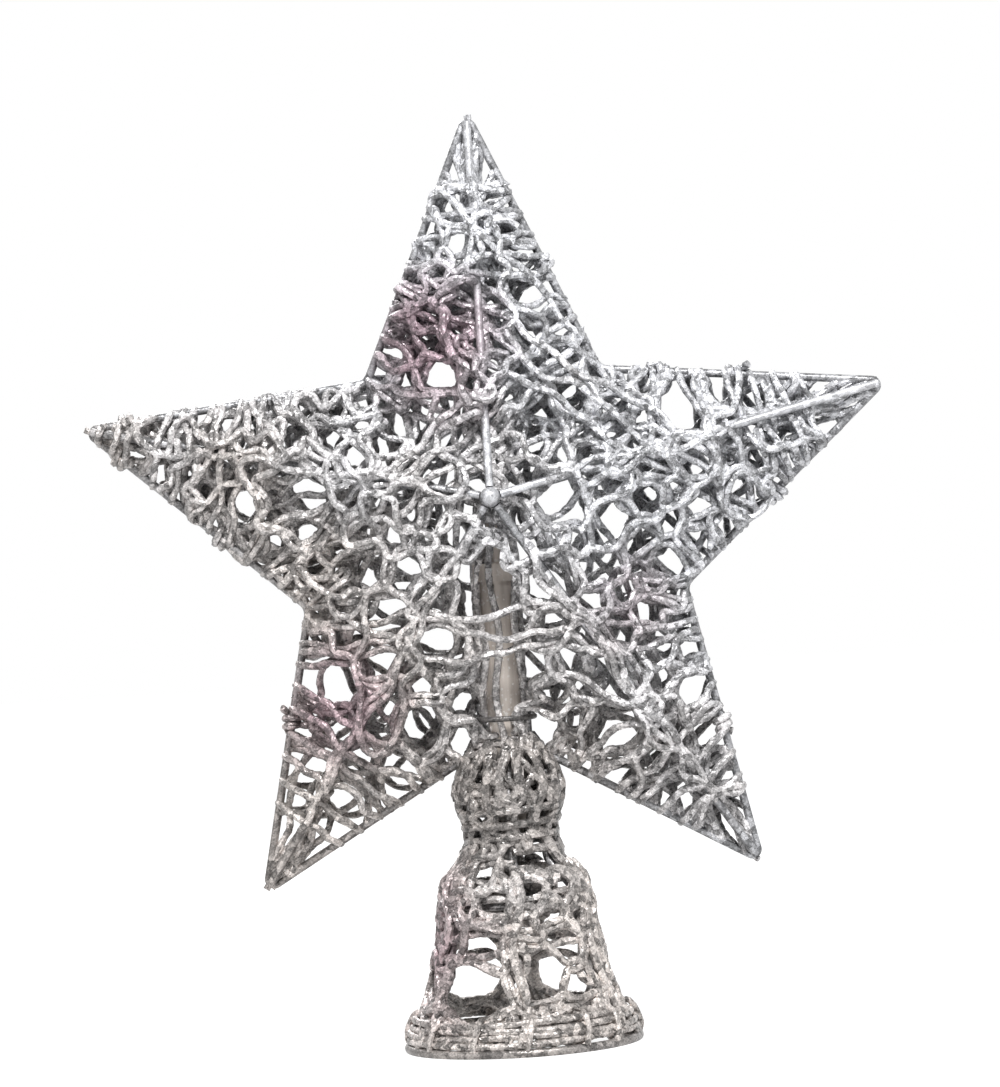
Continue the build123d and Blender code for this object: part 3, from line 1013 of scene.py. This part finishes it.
# Vine geometry: a tree of nodes that turns paths into faceted, uneven tubes
def vine_tree():
    tree = bpy.data.node_groups.new("glittered vine", "GeometryNodeTree")
    face = tree.interface
    for kind, names in (
        ("NodeSocketGeometry", ("Geometry",)),
        ("NodeSocketFloat", ("Thickness", "Facet Length", "Unevenness", "Grain")),
        ("NodeSocketInt", ("Sides", "Seed")),
        ("NodeSocketMaterial", ("Finish",)),
    ):
        for name in names:
            face.new_socket(name, in_out="INPUT", socket_type=kind)
    face.new_socket("Geometry", in_out="OUTPUT", socket_type="NodeSocketGeometry")

    def add(kind, sockets=None, **settings):
        node = tree.nodes.new(kind)
        for key, value in settings.items():
            setattr(node, key, value)
        for key, value in (sockets or {}).items():
            if isinstance(value, bpy.types.NodeSocket):
                tree.links.new(value, node.inputs[key])
            else:
                node.inputs[key].default_value = value
        return node.outputs

    def reckoned(operation, *values):
        return add("ShaderNodeMath", dict(enumerate(values)), operation=operation)[0]

    def corner(value):
        return add("ShaderNodeCombineXYZ", {0: value, 1: value, 2: value})[0]

    given = add("NodeGroupInput")
    line = add("GeometryNodeMeshToCurve", {"Mesh": given["Geometry"]})[0]
    facets = {"Curve": line, "Length": given["Facet Length"]}
    even = add("GeometryNodeResampleCurve", facets, mode="LENGTH")[0]
    swell = add("ShaderNodeTexNoise", {"Scale": SWELL_SCALE, "Detail": SWELL_DETAIL})[0]
    size = reckoned("MULTIPLY_ADD", reckoned("SUBTRACT", swell, 0.5), given["Unevenness"], 1.0)
    half = reckoned("MULTIPLY", given["Thickness"], 0.5)
    ring = add("GeometryNodeCurvePrimitiveCircle", {"Resolution": given["Sides"], "Radius": half})[0]
    swept = {"Curve": even, "Profile Curve": ring, "Scale": size, "Fill Caps": True}
    tube = add("GeometryNodeCurveToMesh", swept)[0]
    low = corner(reckoned("MULTIPLY", given["Grain"], -1.0))
    spread = {0: low, 1: corner(given["Grain"]), "Seed": given["Seed"]}
    shake = add("FunctionNodeRandomValue", spread, data_type="FLOAT_VECTOR")[0]
    rough = add("GeometryNodeSetPosition", {"Geometry": tube, "Offset": shake})[0]
    flat = add("GeometryNodeSetShadeSmooth", {"Geometry": rough, "Shade Smooth": False})[0]
    whole = add("GeometryNodeRealizeInstances", {"Geometry": flat})[0]
    coated = add("GeometryNodeSetMaterial", {"Geometry": whole, "Material": given["Finish"]})[0]
    add("NodeGroupOutput", {"Geometry": coated})
    return tree


VINE_TREE = vine_tree()


def placed(name, data):
    """An object of the scene with the given data."""
    item = bpy.data.objects.new(name, data)
    scene.collection.objects.link(item)
    return item


def wound_piece(name, paths, finish, seed, thickness=VINE_THICKNESS):
    """A piece of vine along the given paths."""
    corners = [point * MM for path in paths for point in path]
    links = []
    first = 0
    for path in paths:
        links += [(k, k + 1) for k in range(first, first + len(path) - 1)]
        first += len(path)
    line = bpy.data.meshes.new(name + "_line")
    line.from_pydata(corners, links, [])
    carrier = placed(name + "_line", line)
    maker = carrier.modifiers.new("vine", "NODES")
    maker.node_group = VINE_TREE
    values = {
        "Thickness": thickness * MM,
        "Facet Length": VINE_FACET * MM,
        "Unevenness": VINE_UNEVENNESS,
        "Grain": VINE_GRAIN * MM,
        "Sides": VINE_SIDES,
        "Seed": seed,
        "Finish": finish,
    }
    for item in VINE_TREE.interface.items_tree:
        if item.in_out == "INPUT" and item.name in values:
            maker[item.identifier] = values[item.name]
    evaluated = carrier.evaluated_get(bpy.context.evaluated_depsgraph_get())
    mesh = bpy.data.meshes.new_from_object(evaluated)
    mesh.name = name
    carrier.modifiers.remove(maker)
    bpy.data.objects.remove(carrier)
    piece = placed(name, mesh)
    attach(piece, "root")
    return piece


# Finishes
class Signal:
    """A shader socket. Its arithmetic adds Math nodes, and any other node comes from node()."""

    MIX_LOW = 6
    MIX_HIGH = 7
    MIX_COLOUR = 2

    def __init__(self, tree, socket=None):
        self.tree = tree
        self.socket = socket

    def node(self, kind, sockets=None, output=0, **settings):
        made = self.tree.nodes.new(kind)
        for key, value in settings.items():
            setattr(made, key, value)
        for key, value in (sockets or {}).items():
            if isinstance(value, Signal):
                self.tree.links.new(value.socket, made.inputs[key])
            else:
                made.inputs[key].default_value = value
        return Signal(self.tree, made.outputs[output] if made.outputs else None)

    def math(self, operation, *values):
        return self.node("ShaderNodeMath", dict(enumerate(values)), operation=operation)

    def __add__(self, other):
        return self.math("ADD", self, other)

    def __radd__(self, other):
        return self.math("ADD", other, self)

    def __sub__(self, other):
        return self.math("SUBTRACT", self, other)

    def __rsub__(self, other):
        return self.math("SUBTRACT", other, self)

    def __mul__(self, other):
        return self.math("MULTIPLY", self, other)

    def __rmul__(self, other):
        return self.math("MULTIPLY", other, self)

    def __pow__(self, other):
        return self.math("POWER", self, other)

    def clamped(self):
        return self.node("ShaderNodeClamp", {"Value": self})

    def vector(self, operation, *values, output=0):
        return self.node("ShaderNodeVectorMath", dict(enumerate(values)), output, operation=operation)

    def channel(self, name):
        """One channel of a colour."""
        return self.node("ShaderNodeSeparateColor", {0: self}, name)

    def axis(self, name):
        """One axis of a place."""
        return self.node("ShaderNodeSeparateXYZ", {0: self}, name)

    def mix(self, low, high):
        """A colour between two, by this value."""
        ends = [end if isinstance(end, Signal) else (*end, 1.0) for end in (low, high)]
        sockets = {0: self, self.MIX_LOW: ends[0], self.MIX_HIGH: ends[1]}
        return self.node("ShaderNodeMix", sockets, self.MIX_COLOUR, data_type="RGBA")


def new_finish(name):
    material = bpy.data.materials.new(name)
    material.use_nodes = True
    material.node_tree.nodes.clear()
    return material, Signal(material.node_tree)


def glitter_finish(
    name, levels, warm, roundness=0.0, inward_shade_level=0.5, metallic=0.22, roughness=0.26, tilt=0.35
):
    """Silver glitter over dyed vine or wire: flakes between two levels, warm below two heights.

    What faces inwards is darkened, as painted shade, down to the inward shade level. Outwards is away from
    the star's plane where roundness is 0, and away from the upright axis where it is 1.
    """
    material, start = new_finish(name)
    dark, bright = levels
    warm_low, warm_high = warm
    place = start.node("ShaderNodeTexCoord", output="Object")

    def cells(size):
        sockets = {"Vector": place, "Scale": 1 / (size * MM)}
        return start.node("ShaderNodeTexVoronoi", sockets, "Color")

    def noise(scale):
        sockets = {"Vector": place, "Scale": scale, "Detail": NOISE_DETAIL}
        return start.node("ShaderNodeTexNoise", sockets)

    swing = noise(DRIFT_SCALE) - 0.5
    warmth = (warm_high - place.axis("Z") - place.axis("X")) * (1 / (warm_high - warm_low))
    tone = (warmth + swing * WARMTH_DRIFT).clamped().mix(SILVER, WARM_SILVER)
    # Mauve patches tint the tone; the one on the bell's left paints shade there
    for centre, reach, strength in MAUVE_AND_SHADE_PATCHES:
        away = start.vector("DISTANCE", place, centre, output="Value")
        mauve = ((reach - away) * (MAUVE_EDGE / reach) + swing * MAUVE_DRIFT).clamped() * strength
        tone = mauve.mix(tone, MAUVE)

    flakes = cells(FLAKE)
    sparkle = flakes.channel("Red") * FLAKE_WEIGHT + cells(PATCH).channel("Red") * PATCH_WEIGHT
    cloud = CLOUD_LOW + CLOUD_GAIN * noise(CLOUD_SCALE)
    level = dark + (bright - dark) * sparkle**SPARKLE_POWER * cloud
    # Painted shade: faces that turn inwards get a darker flake level
    normal = start.node("ShaderNodeNewGeometry", output="Normal")
    outward = start.vector("NORMALIZE", start.vector("MULTIPLY", place, (roundness, 1.0, 0.0)))
    facing_out = start.vector("DOT_PRODUCT", outward, normal, output="Value")
    level = level * (inward_shade_level + (1 - inward_shade_level) * (0.5 + 0.5 * facing_out))
    grey = start.node("ShaderNodeCombineColor", {0: level, 1: level, 2: level})
    both = {0: 1.0, Signal.MIX_LOW: tone, Signal.MIX_HIGH: grey}
    colour = start.node(
        "ShaderNodeMix", both, Signal.MIX_COLOUR, data_type="RGBA", blend_type="MULTIPLY"
    )

    spread = start.vector("SUBTRACT", flakes, (0.5, 0.5, 0.5))
    facing = start.vector("NORMALIZE", start.vector("MULTIPLY_ADD", spread, (tilt, tilt, tilt), normal))
    shader = start.node(
        "ShaderNodeBsdfPrincipled",
        {
            "Base Color": colour,
            "Metallic": metallic,
            "Roughness": roughness + ROUGHNESS_SPREAD * flakes.channel("Green"),
            "Normal": facing,
        },
    )
    start.node("ShaderNodeOutputMaterial", {"Surface": shader})
    return material


def stem_finish():
    """Taupe satin paint, drawn along the tube, with fine specks."""
    material, start = new_finish("taupe satin paint")
    place = start.node("ShaderNodeTexCoord", output="Object")
    drawn = start.node("ShaderNodeMapping", {"Vector": place, "Scale": STEM_GRAIN_SCALE})
    grain = {"Vector": drawn, "Scale": 1.0, "Detail": STEM_GRAIN_DETAIL}
    streaks = start.node("ShaderNodeTexNoise", grain)
    specks = start.node("ShaderNodeTexVoronoi", {"Vector": place, "Scale": SPECK_SCALE}, "Color")
    glint = ((specks.channel("Blue") - SPECK_LEVEL) * SPECK_GAIN).clamped()
    relief = {"Height": streaks, "Strength": STEM_GRAIN_BUMP, "Distance": STEM_GRAIN_DEPTH}
    shader = start.node(
        "ShaderNodeBsdfPrincipled",
        {
            "Base Color": glint.mix(streaks.mix(STEM_DARK, STEM_PALE), STEM_GLINT),
            "Metallic": STEM_METALLIC,
            "Roughness": STEM_ROUGHNESS + STEM_ROUGHNESS_SPREAD * streaks,
            "Normal": start.node("ShaderNodeBump", relief),
        },
    )
    start.node("ShaderNodeOutputMaterial", {"Surface": shader})
    return material


VINE_FINISH = glitter_finish("silver glittered vine", (0.14, 1.6), VINE_WARM, inward_shade_level=0.62)
# A paler copy of the wire finish for the front hub and ridges: painted highlight
HIGHLIGHTED_RIDGE_FINISH = glitter_finish("highlighted glittered wire", (0.45, 1.25), WIRE_WARM, metallic=0.4, tilt=0.2)
WIRE_FINISH = glitter_finish("silver glittered wire", (0.12, 0.95), WIRE_WARM, metallic=0.4, tilt=0.2)
TIE_FINISH = glitter_finish(
    "dark glittered tie", (0.04, 0.4), BASE_WARM, roundness=1.0, metallic=0.3, roughness=0.3, tilt=0.3
)
BASE_FINISH = glitter_finish("warm glittered vine", (0.09, 1.55), BASE_WARM, roundness=1.0, inward_shade_level=0.9)
# The bulb's vine takes a darker copy of the base's finish, as painted shade
SHADED_BULB_FINISH = glitter_finish("shaded glittered vine", (0.05, 1.02), BASE_WARM, roundness=1.0, inward_shade_level=0.45)
STEM_FINISH = stem_finish()

# Carried-over nodes
for name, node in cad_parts.items():
    if name in PAINTED:
        finish = STEM_FINISH
    elif name == "stem_tie":
        finish = TIE_FINISH
    elif name in HIGHLIGHTED_WIRES:
        finish = HIGHLIGHTED_RIDGE_FINISH
    else:
        finish = WIRE_FINISH
    node.data.materials.clear()
    node.data.materials.append(finish)

# Vine on the arms and the body of the star
for arm, arm_name in enumerate(ARM_NAMES):
    vine = wound_piece(f"arm_vine_{arm_name}", arm_paths(arm, ARM_SEED + arm), VINE_FINISH, arm)
    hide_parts(f"arm_winding_{arm_name}")
for k, (band, *stretch) in enumerate(BANDS):
    paths = body_paths(BODY_SEED + k, *stretch)
    if band == "level":
        stem_draw = random.Random(STEM_SEED)
        paths += [stem_strand(stem_draw, degrees) for degrees in STEM_STRANDS]
    vine = wound_piece(f"body_vine_{band}", paths, VINE_FINISH, BODY_GRAIN + k)
    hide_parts(f"body_winding_{band}")

# Vine on the base
hem_vine = wound_piece("hem_vine", [hem_path(HEM_SEED)], BASE_FINISH, HEM_GRAIN)
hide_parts("hem_winding")

cone = [even_round(*turns) for turns in CONE_TURNS] + [woven_round(*vine) for vine in CONE_WOVEN]
leg_draw = random.Random(LEG_SEED)
for leg in range(LEG_COUNT):
    cone += [leg_strand(leg_draw, leg) for _ in range(LEG_STRANDS)]
cone_vine = wound_piece("cone_vine", cone, BASE_FINISH, CONE_GRAIN, BASE_VINE_THICKNESS)
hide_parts("cone_winding")

bulb = [even_round(*turns) for turns in BULB_TURNS] + [woven_round(*vine) for vine in BULB_WOVEN]
arch_draw = random.Random(ARCH_SEED)
bulb += [dome_arch(arch_draw) for _ in range(ARCHES)]
bulb_vine = wound_piece("bulb_vine", bulb, SHADED_BULB_FINISH, BULB_GRAIN, BASE_VINE_THICKNESS)
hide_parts("bulb_winding")

# Knots on the star's edges, and ties round the hem
knots = []
for k, (arm, side, share) in enumerate(KNOTS):
    place, outward = edge_place(arm, side, share)
    centre = Vector((place.x, 0, place.y + STAR_HEIGHT))
    along = Vector((outward.y, 0, -outward.x))
    knots.append(knot_path(centre, along, KNOT_SEED + k))
edge_knots = wound_piece("edge_knots", knots, VINE_FINISH, KNOT_GRAIN)

ties = [tie_path(degrees) for degrees in TIE_DEGREES]
hem_ties = wound_piece("hem_ties", ties, BASE_FINISH, TIE_GRAIN, TIE_THICKNESS)


# Stage: pale floor, white air, soft lamps
def seen_white(start):
    """One where a ray of the camera, a reflection or a transmission looks."""
    seen, glossy, clear = [start.node("ShaderNodeLightPath", output=name) for name in WHITE_RAYS]
    return (seen + glossy + clear).clamped()


def add_lamp(name, place, size, power):
    lamp = bpy.data.lights.new(name, "AREA")
    lamp.size = size
    lamp.energy = power
    item = placed(name, lamp)
    item.location = place
    item.rotation_euler = (Vector(LAMP_AIM) - Vector(place)).to_track_quat("-Z", "Y").to_euler()


floor_mesh = bpy.data.meshes.new("floor")
floor_corners = [(-1, -1, 0), (1, -1, 0), (1, 1, 0), (-1, 1, 0)]
floor_mesh.from_pydata([Vector(c) * FLOOR_REACH for c in floor_corners], [], [(0, 1, 2, 3)])
floor = placed("floor", floor_mesh)
floor_finish, paper = new_finish("white studio floor")
matt = paper.node("ShaderNodeBsdfDiffuse", {"Color": FLOOR_MATT})
faint = paper.node("ShaderNodeBsdfDiffuse", {"Color": FLOOR_FAINT})
away = paper.vector("LENGTH", paper.node("ShaderNodeTexCoord", output="Object"), output="Value")
near = (1 - away * (1 / SHADOW_REACH)).clamped()
glow = paper.node("ShaderNodeEmission", {"Color": near.mix(FLOOR_FAR, FLOOR_NEAR)})
both = paper.node("ShaderNodeAddShader", {0: faint, 1: glow})
shown = paper.node("ShaderNodeMixShader", {0: seen_white(paper), 1: matt, 2: both})
paper.node("ShaderNodeOutputMaterial", {"Surface": shown})
floor_mesh.materials.append(floor_finish)

world = bpy.data.worlds.new("studio")
scene.world = world
world.use_nodes = True
world.node_tree.nodes.clear()
air = Signal(world.node_tree)
strength = AIR_LEVEL + (1 - AIR_LEVEL) * seen_white(air)
sky = air.node("ShaderNodeBackground", {"Color": AIR_COLOUR, "Strength": strength})
air.node("ShaderNodeOutputWorld", {"Surface": sky})

for lamp in LAMPS:
    add_lamp(*lamp)

# Camera, level with the star and turned a little about its own line of sight
camera_data = bpy.data.cameras.new("camera")
camera_data.lens = CAMERA_LENS
camera_data.sensor_width = CAMERA_SENSOR
camera = placed("camera", camera_data)
facing = Euler((math.pi / 2, 0, 0)).to_matrix() @ Matrix.Rotation(CAMERA_TURN, 3, "Z")
camera.rotation_euler = facing.to_euler()
camera.location = CAMERA_PLACE
scene.camera = camera
scene.view_settings.view_transform = "Standard"
